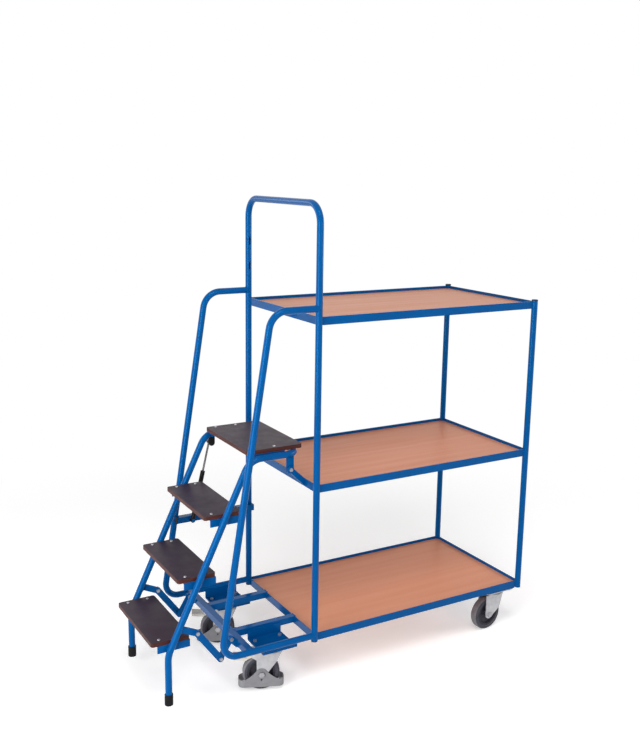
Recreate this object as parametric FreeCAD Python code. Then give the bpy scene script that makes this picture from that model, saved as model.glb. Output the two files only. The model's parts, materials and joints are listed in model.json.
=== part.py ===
import FreeCAD, Part
import math
import os

os.makedirs("parts", exist_ok=True)

# Order picking trolley: three shelves between a push handle and two rear posts, and a sprung
# four-step ladder on the handle end. Millimetres, +Z up, floor at Z = 0. The ladder end is the
# front, at -X, and the near side is -Y. While the pieces are made, X = 0 is midway between the
# handle legs and the rear posts. They are shifted once, when saved, so that the origin lies
# under the middle of the whole trolley.

# Posts, handle and round tube
POST_PITCH_X = 1000.0
POST_PITCH_Y = 565.0
TUBE_D = 25.0
TUBE_WALL = 2.0
HANDLE_BAR_Z = 1813.0
HANDLE_BEND = 70.0
REAR_POST_RISE = 3.0
CAP_T = 3.0
CAP_SPIGOT = 14.0
LEG_SLOT_DROP = 165.0
LEG_SLOT_PITCH = 97.0
LEG_SLOT_H = 30.0
LEG_SLOT_W = 6.0

# Shelves. The lower one lies on the rear caster beam, and the middle one carries the ladder hinge.
UPPER_RIM_TOP = 1422.0
RIM_H = 30.0
RIM_T = 3.0
RIM_FLANGE = 25.0
BOARD_T = 15.0

# Handrails, with their corners given as reach in front of the handle legs
RAIL_TOP_Z = 1452.0
RAIL_TOP_REACH = 186.0
RAIL_LOW_REACH = 381.0
RAIL_UPPER_BEND = 70.0
RAIL_LOWER_BEND = 55.0

# Base in front of the lower shelf
BASE_DROP = 7.0
BASE_TUBE = 25.0
BASE_WALL = 2.0
CROSS_BACK = 113.0
CASTER_PLATE_T = 4.0
CASTER_PLATE_Y = 137.0
CASTER_PLATE_EDGE = 1.0
INNER_WALL_H = 40.0
BEAM_T = 4.0
BEAM_H = 14.0
BEAM_EDGE = 2.0
BEAM_SEAT = 7.5

# Casters
WHEEL_D = 140.0
TYRE_T = 16.0
TYRE_W = 36.0
TYRE_SHOULDER = 10.0
HUB_PROUD = 3.0
HUB_BOSS_D = 30.0
HUB_RIM_T = 8.0
HUB_RIM_INSET = 2.0
HUB_WEB_T = 12.0
HUB_SIDE_GAP = 1.0
AXLE_D = 12.0
SWIVEL_OFFSET = 42.0
FRONT_CASTER_SHIFT = 8.25
TOP_PLATE_X = 138.0
TOP_PLATE_Y = 108.0
TOP_PLATE_T = 4.0
TOP_PLATE_CORNER = 10.0
PLATE_BOLT_EDGE_X = 16.5
PLATE_BOLT_EDGE_Y = 14.0
PLATE_BOLT_D = 8.0
RACE_D = 64.0
RACE_H = 16.5
KING_PIN_D = 12.0
KING_NUT_D = 22.0
KING_NUT_H = 6.0
CROWN_D = 76.0
CROWN_T = 5.0
CROWN_CLEAR = 12.2
FORK_T = 4.0
FORK_BOSS_D = 36.0
CHEEK_BACK = 35.0
CHEEK_WAIST_BACK = 16.0
CHEEK_WAIST_UP = 49.0
REAR_CHEEK_WAIST_UP = 22.0
EAR_DROP = 12.0

# Foot guard and brake pedal on the front casters
GUARD_END_GAP = 16.0
GUARD_T = 3.0
GUARD_CORNER = 22.0
GUARD_FLOOR_GAP = 18.0
GUARD_BAND_H = 29.0
GUARD_SAG = 4.0
GUARD_NECK_UP = 14.0
GUARD_CREST = 8.0
GUARD_HOLE_D = 7.0
GUARD_HOLE_DROP = 23.0
PEDAL_PIVOT_BACK = 30.0
PEDAL_PIVOT_LIFT = 4.5
PEDAL_HUB_D = 14.0
PEDAL_PIN_D = 8.0
PEDAL_LENGTH = 75.0
PEDAL_KNEE = 26.0
PEDAL_DIP = 8.5
PEDAL_RISE = 5.0
PEDAL_T = 11.0
PEDAL_ARM_GAP = 4.0
PEDAL_PAD_W = 46.0
PEDAL_SIDE_GAP = 1.0

# Ladder, with reaches in front of the handle legs
FOOT_LIFT = 45.0
FOOT_WALL = 2.8
FOOT_H = 40.0
FOOT_SOLE = 6.0
LADDER_INSET = 84.5
LEG_CORNER_Z = 232.7
LEG_BEND = 100.0
LADDER_TOP_BEND = 70.0
LADDER_BACK_BEND = 50.0
LADDER_BACK_REACH = 30.0
FIRST_STEP_Z = 285.5
FIRST_STEP_REACH = 523.0
STEP_RISE = 217.5
STEP_RUN = 103.0
LOW_STEPS = 3
STEP_NOSE = 81.0
STEP_DEPTH = 145.0
STEP_SIDE_GAP = 1.5
STEP_T = 15.0
STEP_CORNER = 10.0
TOP_STEP_FRONT = 232.0
TOP_STEP_BACK = 6.0
TOP_STEP_LIFT = 0.5
BRACKET_T = 3.0
BRACKET_H = 28.0
BRACKET_FLANGE = 30.0
BRACKET_SETBACK = 22.0
SCREW_D = 6.0
SCREW_HEAD_D = 11.0
SCREW_CREST_D = 7.5
SCREW_HEAD_H = 3.0
SCREW_INSET_X = 34.0
SCREW_INSET_Y = 18.0
SCREW_TAIL = 6.0

# Ladder hinge on the middle shelf frame
HINGE_REACH = 62.0
HINGE_DROP = 60.0
HINGE_RISE = 45.0
HINGE_PLATE_INSET = 8.0
HINGE_PLATE_T = 5.0
HINGE_PLATE_X = 30.0
HINGE_BOLT_D = 8.0
HINGE_EYE_R = 14.0

# Link and rocker between the ladder and the base
ARM_ROOT_Z = 326.0
ARM_REACH = 72.75
ROCKER_STANDOFF = 25.5
ROCKER_RISE = 25.0
ROCKER_RUN = 42.0
ROCKER_DROP = 68.0
STRAP_W = 25.0
STRAP_T = 5.0
LINK_SLOT = 38.0
LINK_SLOT_DEPTH = 3.5
LINK_BOLT_D = 8.0
SLOT_PIN_D = 5.0

# Gas strut on the far side
STRUT_OUT = 30.0
STRUT_BACK = 27.0
STRUT_DROP = 44.0
STRUT_STUD_BACK = 54.25
STRUT_HEIGHT = 318.0
STRUT_CYLINDER_D = 18.0
STRUT_ROD_D = 8.0
STRUT_CYLINDER_L = 204.0
STRUT_ROD_INSIDE = 130.0
STRUT_END_WALL = 6.0
STRUT_EYE_D = 20.0
STRUT_EYE_W = 12.0
STRUT_STUD_D = 8.0
STRUT_HEAD_D = 14.0
STRUT_HEAD_T = 2.0
STRUT_BRACKET_T = 5.0
STRUT_BRACKET_W = 25.0
STRUT_PLATE_INSET = 6.0
BRACE_END = 3.0

# Clearances
WELD_GAP = 0.2
BOARD_GAP = 0.5
HOLE_GAP = 0.2
RUN_GAP = 0.05
FACE_GAP = 0.3
SLOT_GAP = 0.3
OPEN_EYE_GAP = 0.5

# Bolt proportions, as shares of the thread
HEAD_FLATS = 1.65
HEAD_HEIGHT = 0.65
NUT_HEIGHT = 0.8

# Where the fork's cheek leaves its axle boss, as shares of the boss radius
ROOT_ACROSS = 0.6
ROOT_DOWN = 0.8

# How the casters stand at rest, in degrees about the king pin from straight
FRONT_REST_DEG = -22.0
REAR_REST_DEG = 4.0

# Places worked out from the sizes above
HALF_X = POST_PITCH_X / 2
HALF_Y = POST_PITCH_Y / 2
TUBE_R = TUBE_D / 2
WELD_R = TUBE_R + WELD_GAP
LEG_X = -HALF_X
AXLE_Z = WHEEL_D / 2
CROWN_TOP = WHEEL_D + CROWN_CLEAR + CROWN_T
CASTER_H = CROWN_TOP + FACE_GAP + RACE_H + TOP_PLATE_T
HUB_W = TYRE_W + 2 * HUB_PROUD
FORK_GAP = HUB_W + 2 * HUB_SIDE_GAP
FORK_Y = FORK_GAP / 2 + FORK_T
GUARD_LENGTH = WHEEL_D + 2 * GUARD_END_GAP
LOWER_RIM_LOW = CASTER_H + BEAM_H
LOWER_RIM_TOP = LOWER_RIM_LOW + RIM_H
POST_FOOT_Z = LOWER_RIM_LOW + CAP_T
BASE_Z = LOWER_RIM_TOP - BASE_DROP
RAIL_LOW_X = LEG_X - RAIL_LOW_REACH
CROSS_X = RAIL_LOW_X + CROSS_BACK
CROSS_FRONT = CROSS_X - BASE_TUBE / 2
CROSS_REAR = CROSS_X + BASE_TUBE / 2
PLATE_OUTER_Y = HALF_Y - WELD_R
PLATE_INNER_Y = PLATE_OUTER_Y - CASTER_PLATE_Y
INNER_TUBE_Y = PLATE_INNER_Y - BASE_TUBE / 2
FRONT_CASTER_X = (CROSS_REAR + LEG_X) / 2 - FRONT_CASTER_SHIFT
FRONT_CASTER_Y = (PLATE_INNER_Y + PLATE_OUTER_Y) / 2
BEAM_X = TOP_PLATE_X + 2 * BEAM_EDGE
BEAM_HALF_Y = HALF_Y - RIM_FLANGE + BEAM_SEAT
REAR_CASTER_X = HALF_X - BEAM_X / 2
REAR_CASTER_Y = BEAM_HALF_Y - TOP_PLATE_Y / 2
LADDER_Y = HALF_Y - LADDER_INSET
STEP_HALF_W = LADDER_Y - TUBE_R - STEP_SIDE_GAP
TOP_STEP_Z = FIRST_STEP_Z + LOW_STEPS * STEP_RISE
RUN_Z = TOP_STEP_Z - STEP_T - TOP_STEP_LIFT - TUBE_R
HINGE_Z = RUN_Z - HINGE_DROP
MIDDLE_RIM_TOP = HINGE_Z - HINGE_RISE
HINGE_PLATE_Y = LADDER_Y - HINGE_PLATE_INSET
STRUT_Y = LADDER_Y + STRUT_OUT
BRACE_Y = HALF_Y - WELD_R - BASE_TUBE / 2
LADDER_BACK_X = LEG_X - LADDER_BACK_REACH
BRACKET_Y = LADDER_Y - WELD_R
ARM_Y = LADDER_Y - STRAP_T / 2
LINK_Y = ARM_Y + STRAP_T + FACE_GAP
HEAD_Y = LINK_Y + STRAP_T + FACE_GAP
TAB_Y = HINGE_PLATE_Y + HINGE_PLATE_T + FACE_GAP
FRONT_X = LEG_X - FIRST_STEP_REACH - STEP_NOSE
BACK_X = HALF_X + TUBE_R
ORIGIN_SHIFT = -(FRONT_X + BACK_X) / 2


def vec(x, y, z):
    return FreeCAD.Vector(x, y, z)


X_AXIS = vec(1, 0, 0)
Y_AXIS = vec(0, 1, 0)
Z_AXIS = vec(0, 0, 1)


def box(x0, x1, y0, y1, z0, z1):
    return Part.makeBox(x1 - x0, y1 - y0, z1 - z0, vec(x0, y0, z0))


def cylinder(base, axis, radius, height):
    return Part.makeCylinder(radius, height, base, axis)


def pin_y(x, z, radius, y0, y1):
    """Round bar along Y between two Y values."""
    return cylinder(vec(x, y0, z), Y_AXIS, radius, y1 - y0)


def mirrored(shape):
    """The same piece on the other side of the trolley's middle plane."""
    return shape.mirror(vec(0, 0, 0), Y_AXIS)


def both_sides(shape):
    return [mirrored(shape), shape]


def joined(shapes):
    return shapes[0].fuse(shapes[1:]).removeSplitter()


def bent_path(points, bends):
    """Wire through the points, with each inner corner rounded to its bend radius."""
    edges = []
    start = points[0]
    for before, corner, after, bend in zip(points, points[1:], points[2:], bends):
        into = (corner - before).normalize()
        out = (after - corner).normalize()
        half_turn = into.getAngle(out) / 2
        reach = bend * math.tan(half_turn)
        first = corner - into * reach
        last = corner + out * reach
        inward = (out - into).normalize()
        middle = corner + inward * (bend / math.cos(half_turn) - bend)
        edges.append(Part.LineSegment(start, first).toShape())
        edges.append(Part.Arc(first, middle, last).toShape())
        start = last
    edges.append(Part.LineSegment(start, points[-1]).toShape())
    return Part.Wire(edges)


def bent_bar(points, bends, diameter):
    """Solid round bar along the bent path."""
    ring = Part.Wire(Part.makeCircle(diameter / 2, points[0], points[1] - points[0]))
    return bent_path(points, bends).makePipeShell([ring], True, False)


def bent_tube(points, bends):
    """Round tube along the bent path."""
    outside = bent_bar(points, bends, TUBE_D)
    return outside.cut(bent_bar(points, bends, TUBE_D - 2 * TUBE_WALL))


def square_tube(x0, x1, y0, y1, z0, z1, axis):
    """Square tube that fills the box, open at both ends of the given axis."""
    wall = {"x": BASE_WALL, "y": BASE_WALL, "z": BASE_WALL}
    wall[axis] = 0.0
    inside = box(x0 + wall["x"], x1 - wall["x"], y0 + wall["y"], y1 - wall["y"],
                 z0 + wall["z"], z1 - wall["z"])
    return box(x0, x1, y0, y1, z0, z1).cut(inside)


def plate_xz(outline, y0, y1):
    """Flat plate in an XZ plane from its (x, z) outline, between two Y values."""
    points = [vec(x, y0, z) for x, z in outline]
    face = Part.Face(Part.makePolygon(points + points[:1]))
    return face.extrude(vec(0, y1 - y0, 0))


def strap(start, end, width, y0, y1):
    """Flat bar with round ends, between two (x, z) points."""
    along = vec(end[0] - start[0], 0, end[1] - start[1])
    length = along.Length
    along.normalize()
    side = vec(-along.z, 0, along.x) * (width / 2)
    ends = [vec(start[0], y0, start[1]), vec(start[0], y0, start[1]) + along * length]
    corners = [ends[0] + side, ends[1] + side, ends[1] - side, ends[0] - side]
    face = Part.Face(Part.makePolygon(corners + corners[:1]))
    bar = face.extrude(vec(0, y1 - y0, 0))
    caps = [cylinder(end_point, Y_AXIS, width / 2, y1 - y0) for end_point in ends]
    return joined([bar] + caps)


def hexagon(base, direction, flats, height):
    """Hexagonal prism that stands on its base along the direction."""
    radius = flats / math.sqrt(3)
    corners = []
    for index in range(6):
        turn = math.radians(60 * index)
        corners.append(vec(radius * math.cos(turn), radius * math.sin(turn), 0))
    prism = Part.Face(Part.makePolygon(corners + corners[:1])).extrude(vec(0, 0, height))
    prism.Placement = FreeCAD.Placement(base, FreeCAD.Rotation(Z_AXIS, direction))
    return prism


def bolt(seat, direction, diameter, grip):
    """Hex bolt and nut. The head stands on the seat, and the shank runs along the direction."""
    head_h = HEAD_HEIGHT * diameter
    nut_h = NUT_HEIGHT * diameter
    flats = HEAD_FLATS * diameter
    head = hexagon(seat - direction * head_h, direction, flats, head_h)
    shank = cylinder(seat, direction, diameter / 2, grip)
    nut = hexagon(seat + direction * grip, direction, flats, nut_h)
    return joined([head, shank, nut])


def rounded_block(x0, x1, y0, y1, z0, z1, corner):
    """Block with its four upright edges rounded."""
    block = box(x0, x1, y0, y1, z0, z1)
    upright = [edge for edge in block.Edges if abs(edge.tangentAt(edge.FirstParameter).z) > 0.5]
    return block.makeFillet(corner, upright)


def turned(profile, x, z):
    """Ring about a Y axis at (x, z) from a closed wire in the XY plane, with X as the radius."""
    face = Part.Face(profile)
    face.translate(vec(x, 0, z))
    return face.revolve(vec(x, 0, z), Y_AXIS, 360)


# Posts, handle and shelves

def post_axes():
    return [(x, y) for x in (-HALF_X, HALF_X) for y in (-HALF_Y, HALF_Y)]


def cut_posts(shape, radius, z0, z1):
    """Takes the four corner posts out of a shelf piece."""
    for x, y in post_axes():
        shape = shape.cut(cylinder(vec(x, y, z0), Z_AXIS, radius, z1 - z0))
    return shape


def leg_slots():
    """Upright slots in the inner sides of the handle legs, for hooks."""
    reach = HALF_Y - TUBE_R
    high = HANDLE_BAR_Z - LEG_SLOT_DROP
    straight = LEG_SLOT_H - LEG_SLOT_W
    cuts = []
    for middle in (high, high - LEG_SLOT_PITCH):
        ends = [(LEG_X, middle - straight / 2), (LEG_X, middle + straight / 2)]
        cuts += both_sides(strap(*ends, LEG_SLOT_W, reach, HALF_Y))
    return cuts


def push_handle():
    points = [vec(LEG_X, -HALF_Y, POST_FOOT_Z), vec(LEG_X, -HALF_Y, HANDLE_BAR_Z),
              vec(LEG_X, HALF_Y, HANDLE_BAR_Z), vec(LEG_X, HALF_Y, POST_FOOT_Z)]
    return bent_tube(points, [HANDLE_BEND, HANDLE_BEND]).cut(leg_slots())


def rear_posts():
    height = UPPER_RIM_TOP + REAR_POST_RISE - POST_FOOT_Z
    foot = vec(HALF_X, HALF_Y, POST_FOOT_Z)
    bore = cylinder(foot, Z_AXIS, TUBE_R - TUBE_WALL, height)
    return both_sides(cylinder(foot, Z_AXIS, TUBE_R, height).cut(bore))


def tube_caps():
    """Plastic caps with a spigot, in the lower ends of all legs and the upper ends of the posts."""
    spigot_r = TUBE_R - TUBE_WALL - HOLE_GAP
    caps = []
    for x, y in post_axes():
        low = vec(x, y, POST_FOOT_Z)
        disc = cylinder(low, -Z_AXIS, TUBE_R, CAP_T)
        caps.append(disc.fuse(cylinder(low, Z_AXIS, spigot_r, CAP_SPIGOT)))
    for y in (-HALF_Y, HALF_Y):
        top = vec(HALF_X, y, UPPER_RIM_TOP + REAR_POST_RISE)
        disc = cylinder(top, Z_AXIS, TUBE_R, CAP_T)
        caps.append(disc.fuse(cylinder(top, -Z_AXIS, spigot_r, CAP_SPIGOT)))
    return caps


def shelf_frame(rim_top):
    """Four angle bars welded to a tray rim, coped round the posts."""
    low = rim_top - RIM_H
    inner_x = HALF_X - RIM_T
    inner_y = HALF_Y - RIM_T
    open_x = HALF_X - RIM_FLANGE
    open_y = HALF_Y - RIM_FLANGE
    rim = box(-HALF_X, HALF_X, -HALF_Y, HALF_Y, low, rim_top)
    rim = rim.cut(box(-inner_x, inner_x, -inner_y, inner_y, low + RIM_T, rim_top))
    rim = rim.cut(box(-open_x, open_x, -open_y, open_y, low, low + RIM_T))
    return cut_posts(rim, WELD_R, low, rim_top)


def shelf_board(rim_top):
    """Board that lies on the rim's flange."""
    seat = rim_top - RIM_H + RIM_T
    half_x = HALF_X - RIM_T - BOARD_GAP
    half_y = HALF_Y - RIM_T - BOARD_GAP
    board = box(-half_x, half_x, -half_y, half_y, seat, seat + BOARD_T)
    return cut_posts(board, TUBE_R + BOARD_GAP, seat, seat + BOARD_T)


# Handrails and base

def rail_points(y):
    return [vec(LEG_X, y, RAIL_TOP_Z), vec(LEG_X - RAIL_TOP_REACH, y, RAIL_TOP_Z),
            vec(RAIL_LOW_X, y, BASE_Z), vec(LEG_X, y, BASE_Z)]


def handrail():
    rail = bent_tube(rail_points(HALF_Y), [RAIL_UPPER_BEND, RAIL_LOWER_BEND])
    leg = cylinder(vec(LEG_X, HALF_Y, LOWER_RIM_LOW), Z_AXIS, WELD_R, HANDLE_BAR_Z - LOWER_RIM_LOW)
    return rail.cut(leg)


def rail_x(z):
    """X of the handrail's straight slope at a height."""
    share = (RAIL_TOP_Z - z) / (RAIL_TOP_Z - BASE_Z)
    return LEG_X - RAIL_TOP_REACH - share * (RAIL_LOW_REACH - RAIL_TOP_REACH)


def cross_tube_block():
    half = BASE_TUBE / 2
    return (CROSS_FRONT, CROSS_REAR, -HALF_Y, HALF_Y, BASE_Z - half, BASE_Z + half)


def front_cross_tube():
    tube = square_tube(*cross_tube_block(), "y")
    for y in (-HALF_Y, HALF_Y):
        tube = tube.cut(cylinder(vec(CROSS_X - BASE_TUBE, y, BASE_Z), X_AXIS, WELD_R, 2 * BASE_TUBE))
    return tube


def inner_tubes():
    half = BASE_TUBE / 2
    tube = square_tube(CROSS_REAR, LEG_X, INNER_TUBE_Y - half, INNER_TUBE_Y + half,
                       BASE_Z - half, BASE_Z + half, "x")
    return both_sides(tube)


def plate_bolt_places(x, y):
    """The four bolts of a caster's top plate."""
    reach_x = TOP_PLATE_X / 2 - PLATE_BOLT_EDGE_X
    reach_y = TOP_PLATE_Y / 2 - PLATE_BOLT_EDGE_Y
    for side_x in (-1, 1):
        for side_y in (-1, 1):
            yield x + side_x * reach_x, y + side_y * reach_y


def drilled(shape, places, diameter, z0, z1):
    for x, y in places:
        shape = shape.cut(cylinder(vec(x, y, z0), Z_AXIS, diameter / 2 + HOLE_GAP, z1 - z0))
    return shape


def caster_plates():
    """Sheet troughs that hang the front casters between an inner tube and a handrail."""
    half_x = TOP_PLATE_X / 2 + CASTER_PLATE_EDGE
    x0 = FRONT_CASTER_X - half_x
    x1 = FRONT_CASTER_X + half_x
    y0 = PLATE_INNER_Y
    y1 = PLATE_OUTER_Y
    floor = CASTER_H + CASTER_PLATE_T
    inner = box(x0, x1, y0, y0 + CASTER_PLATE_T, CASTER_H, CASTER_H + INNER_WALL_H)
    flat = box(x0, x1, y0, y1, CASTER_H, floor)
    outer = box(x0, x1, y1 - CASTER_PLATE_T, y1, CASTER_H, BASE_Z)
    trough = joined([inner, flat, outer])
    low_edges = []
    for edge in trough.Edges:
        middle = edge.CenterOfMass
        lengthwise = abs(edge.tangentAt(edge.FirstParameter).x) > 0.5
        at_side = min(abs(middle.y - y0), abs(middle.y - y1)) < WELD_GAP
        if lengthwise and at_side and abs(middle.z - CASTER_H) < WELD_GAP:
            low_edges.append(edge)
    trough = trough.makeFillet(CASTER_PLATE_T, low_edges)
    places = plate_bolt_places(FRONT_CASTER_X, FRONT_CASTER_Y)
    return both_sides(drilled(trough, places, PLATE_BOLT_D, CASTER_H, floor))


def rear_caster_beam():
    """Channel across the rear, under the lower shelf's flanges."""
    x0 = REAR_CASTER_X - BEAM_X / 2
    x1 = REAR_CASTER_X + BEAM_X / 2
    floor = CASTER_H + BEAM_T
    beam = box(x0, x1, -BEAM_HALF_Y, BEAM_HALF_Y, CASTER_H, LOWER_RIM_LOW)
    beam = beam.cut(box(x0 + BEAM_T, x1 - BEAM_T, -BEAM_HALF_Y, BEAM_HALF_Y, floor, LOWER_RIM_LOW))
    for y in (-REAR_CASTER_Y, REAR_CASTER_Y):
        places = plate_bolt_places(REAR_CASTER_X, y)
        beam = drilled(beam, places, PLATE_BOLT_D, CASTER_H, floor)
    return beam


# Ladder hinge, links and rockers, with each pivot as (x, z)

def stringer_x(z):
    """X of the sloping stringers' centre line at a height."""
    return LEG_X - FIRST_STEP_REACH + (z - FIRST_STEP_Z) * STEP_RUN / STEP_RISE


STRINGER_LENGTH = math.hypot(STEP_RUN, STEP_RISE)
HINGE = (LEG_X - HINGE_REACH, HINGE_Z)


def behind_stringer(reach):
    """Point square to the stringer, behind where the link arm meets its centre line."""
    return (stringer_x(ARM_ROOT_Z) + reach * STEP_RISE / STRINGER_LENGTH,
            ARM_ROOT_Z - reach * STEP_RUN / STRINGER_LENGTH)


LINK_TOP = behind_stringer(ARM_REACH)
ROCKER_PIVOT = (CROSS_FRONT - ROCKER_STANDOFF, BASE_Z + ROCKER_RISE)
LINK_LOW = (ROCKER_PIVOT[0] - ROCKER_RUN, ROCKER_PIVOT[1] - ROCKER_DROP)
STRUT_TOP = (stringer_x(RUN_Z) + STRUT_BACK, RUN_Z - STRUT_DROP)
STRUT_LOW_Z = STRUT_TOP[1] - STRUT_HEIGHT
STRUT_LOW = (rail_x(STRUT_LOW_Z) + STRUT_STUD_BACK, STRUT_LOW_Z)


def drilled_y(shape, place, radius, y0, y1):
    return shape.cut(pin_y(place[0], place[1], radius, y0, y1))


def ladder_hinge_tabs():
    """Tabs on the middle shelf's front rim that carry the ladder."""
    y0 = TAB_Y
    y1 = TAB_Y + HINGE_PLATE_T
    low = MIDDLE_RIM_TOP - RIM_H
    outline = [(LEG_X, low), (LEG_X, MIDDLE_RIM_TOP), (HINGE[0] + HINGE_EYE_R, HINGE_Z),
               (HINGE[0], HINGE_Z), (HINGE[0] - HINGE_EYE_R, HINGE_Z)]
    eye = pin_y(HINGE[0], HINGE_Z, HINGE_EYE_R, y0, y1)
    tab = joined([plate_xz(outline, y0, y1), eye])
    return both_sides(drilled_y(tab, HINGE, HINGE_BOLT_D / 2 + HOLE_GAP, y0, y1))


def ladder_hinge_plates():
    """Plates that hang from the ladder's upper run to the hinge bolts."""
    y0 = HINGE_PLATE_Y
    y1 = HINGE_PLATE_Y + HINGE_PLATE_T
    half = HINGE_PLATE_X / 2
    upper = box(HINGE[0] - half, HINGE[0] + half, y0, y1, HINGE_Z, RUN_Z)
    plate = joined([upper, pin_y(HINGE[0], HINGE_Z, half, y0, y1)])
    plate = plate.cut(ladder_bar(TUBE_D + 2 * WELD_GAP))
    return both_sides(drilled_y(plate, HINGE, HINGE_BOLT_D / 2 + RUN_GAP, y0, y1))


def rocker_lugs():
    """Lugs on the front cross tube for the rocker bolts."""
    y0 = LINK_Y
    y1 = LINK_Y + STRAP_T
    lug = strap(ROCKER_PIVOT, (CROSS_FRONT, BASE_Z), STRAP_W, y0, y1)
    behind = box(CROSS_FRONT, CROSS_FRONT + STRAP_W, y0, y1, BASE_Z - STRAP_W, BASE_Z + STRAP_W)
    return both_sides(drilled_y(lug.cut(behind), ROCKER_PIVOT, LINK_BOLT_D / 2 + HOLE_GAP, y0, y1))


def pivot_bolts():
    """Bolts of the ladder hinge and of the rockers, fixed to the chassis."""
    hinge_seat = vec(HINGE[0], TAB_Y + HINGE_PLATE_T, HINGE_Z)
    hinge_bolt = bolt(hinge_seat, -Y_AXIS, HINGE_BOLT_D, hinge_seat.y - HINGE_PLATE_Y + FACE_GAP)
    rocker_seat = vec(ROCKER_PIVOT[0], LINK_Y + STRAP_T, ROCKER_PIVOT[1])
    rocker_bolt = bolt(rocker_seat, -Y_AXIS, LINK_BOLT_D, rocker_seat.y - ARM_Y + FACE_GAP)
    return both_sides(hinge_bolt) + both_sides(rocker_bolt)


def link_arms():
    """Flat bars welded square to the backs of the stringers, out to the link bolts."""
    y1 = ARM_Y + STRAP_T
    arm = strap(behind_stringer(TUBE_R), LINK_TOP, STRAP_W, ARM_Y, y1)
    arm = arm.cut(ladder_bar(TUBE_D + 2 * WELD_GAP))
    return both_sides(drilled_y(arm, LINK_TOP, LINK_BOLT_D / 2 + HOLE_GAP, ARM_Y, y1))


def link_bolts():
    seat = vec(LINK_TOP[0], HEAD_Y, LINK_TOP[1])
    return both_sides(bolt(seat, -Y_AXIS, LINK_BOLT_D, HEAD_Y - ARM_Y))


def link_bar():
    """Link from the ladder's arm, with a blind slot for the rocker's pin behind its lower bolt head."""
    y1 = LINK_Y + STRAP_T
    flats = HEAD_FLATS * LINK_BOLT_D
    head = hexagon(vec(LINK_LOW[0], y1, LINK_LOW[1]), Y_AXIS, flats, HEAD_HEIGHT * LINK_BOLT_D)
    bar = joined([strap(LINK_TOP, LINK_LOW, STRAP_W, LINK_Y, y1), head])
    bar = drilled_y(bar, LINK_TOP, LINK_BOLT_D / 2 + RUN_GAP, LINK_Y, y1)
    length = math.dist(LINK_TOP, LINK_LOW)
    share = LINK_SLOT / length
    slot_end = tuple(low + (top - low) * share for low, top in zip(LINK_LOW, LINK_TOP))
    slot_width = SLOT_PIN_D + 2 * SLOT_GAP
    return bar.cut(strap(LINK_LOW, slot_end, slot_width, LINK_Y, LINK_Y + LINK_SLOT_DEPTH))


def rocker():
    """Short bar on the base, with a pin that runs in the link's blind slot."""
    y1 = ARM_Y + STRAP_T
    bar = strap(LINK_LOW, ROCKER_PIVOT, STRAP_W, ARM_Y, y1)
    bar = drilled_y(bar, ROCKER_PIVOT, LINK_BOLT_D / 2 + RUN_GAP, ARM_Y, y1)
    pin_end = LINK_Y + LINK_SLOT_DEPTH - FACE_GAP
    return joined([bar, pin_y(LINK_LOW[0], LINK_LOW[1], SLOT_PIN_D / 2, y1, pin_end)])


# Ladder

def ladder_path():
    """Corners and bend radii of the one tube that makes both sides of the ladder."""
    leg_x = stringer_x(LEG_CORNER_Z)
    half = [(leg_x, FOOT_LIFT + FOOT_SOLE), (leg_x, LEG_CORNER_Z),
            (stringer_x(RUN_Z), RUN_Z), (LADDER_BACK_X, RUN_Z)]
    near = [vec(x, -LADDER_Y, z) for x, z in half]
    far = [vec(x, LADDER_Y, z) for x, z in reversed(half)]
    bends = [LEG_BEND, LADDER_TOP_BEND, LADDER_BACK_BEND]
    return near + far, bends + bends[::-1]


def ladder_bar(diameter):
    return bent_bar(*ladder_path(), diameter)


def ladder_tube():
    return bent_tube(*ladder_path())


def ladder_feet():
    base = vec(stringer_x(LEG_CORNER_Z), LADDER_Y, FOOT_LIFT)
    foot = cylinder(base, Z_AXIS, WELD_R + FOOT_WALL, FOOT_H)
    socket = cylinder(base + Z_AXIS * FOOT_SOLE, Z_AXIS, WELD_R, FOOT_H - FOOT_SOLE)
    return both_sides(foot.cut(socket))


def low_step_span(index):
    """Front X, back X and top Z of one of the lower steps."""
    top = FIRST_STEP_Z + index * STEP_RISE
    front = stringer_x(top) - STEP_NOSE
    return front, front + STEP_DEPTH, top


def top_step_span():
    return LEG_X - TOP_STEP_FRONT, LEG_X - TOP_STEP_BACK, TOP_STEP_Z


def step_spans():
    return [low_step_span(index) for index in range(LOW_STEPS)] + [top_step_span()]


def bracket_end(span):
    """The brackets end at the step's back edge, or before the ladder tube's bend to the back bar."""
    return min(span[1], LADDER_BACK_X - LADDER_BACK_BEND)


def screw_places(span):
    """Screws lie over the brackets, also where these are shorter than the step."""
    for x in (span[0] + SCREW_INSET_X, bracket_end(span) - SCREW_INSET_X):
        for y in (-STEP_HALF_W + SCREW_INSET_Y, STEP_HALF_W - SCREW_INSET_Y):
            yield x, y


def step_board(span):
    front, back, top = span
    board = rounded_block(front, back, -STEP_HALF_W, STEP_HALF_W, top - STEP_T, top, STEP_CORNER)
    return drilled(board, screw_places(span), SCREW_D, top - STEP_T, top)


def step_brackets(span):
    """Angle bars under the ends of a step, welded to the stringers."""
    seat = span[2] - STEP_T
    x0 = span[0] + BRACKET_SETBACK
    x1 = bracket_end(span)
    flange = box(x0, x1, BRACKET_Y - BRACKET_FLANGE, BRACKET_Y, seat - BRACKET_T, seat)
    web = box(x0, x1, BRACKET_Y - BRACKET_T, BRACKET_Y, seat - BRACKET_H, seat)
    angle = joined([flange, web])
    angle = drilled(angle, screw_places(span), SCREW_D, seat - BRACKET_T, seat)
    return both_sides(angle)


def step_screws():
    """Pan head screws through the boards and the brackets."""
    screws = []
    length = STEP_T + BRACKET_T + SCREW_TAIL
    for span in step_spans():
        for x, y in screw_places(span):
            top = vec(x, y, span[2])
            head = Part.makeCone(SCREW_HEAD_D / 2, SCREW_CREST_D / 2, SCREW_HEAD_H, top, Z_AXIS)
            screws.append(head.fuse(cylinder(top, -Z_AXIS, SCREW_D / 2, length)))
    return screws


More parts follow.
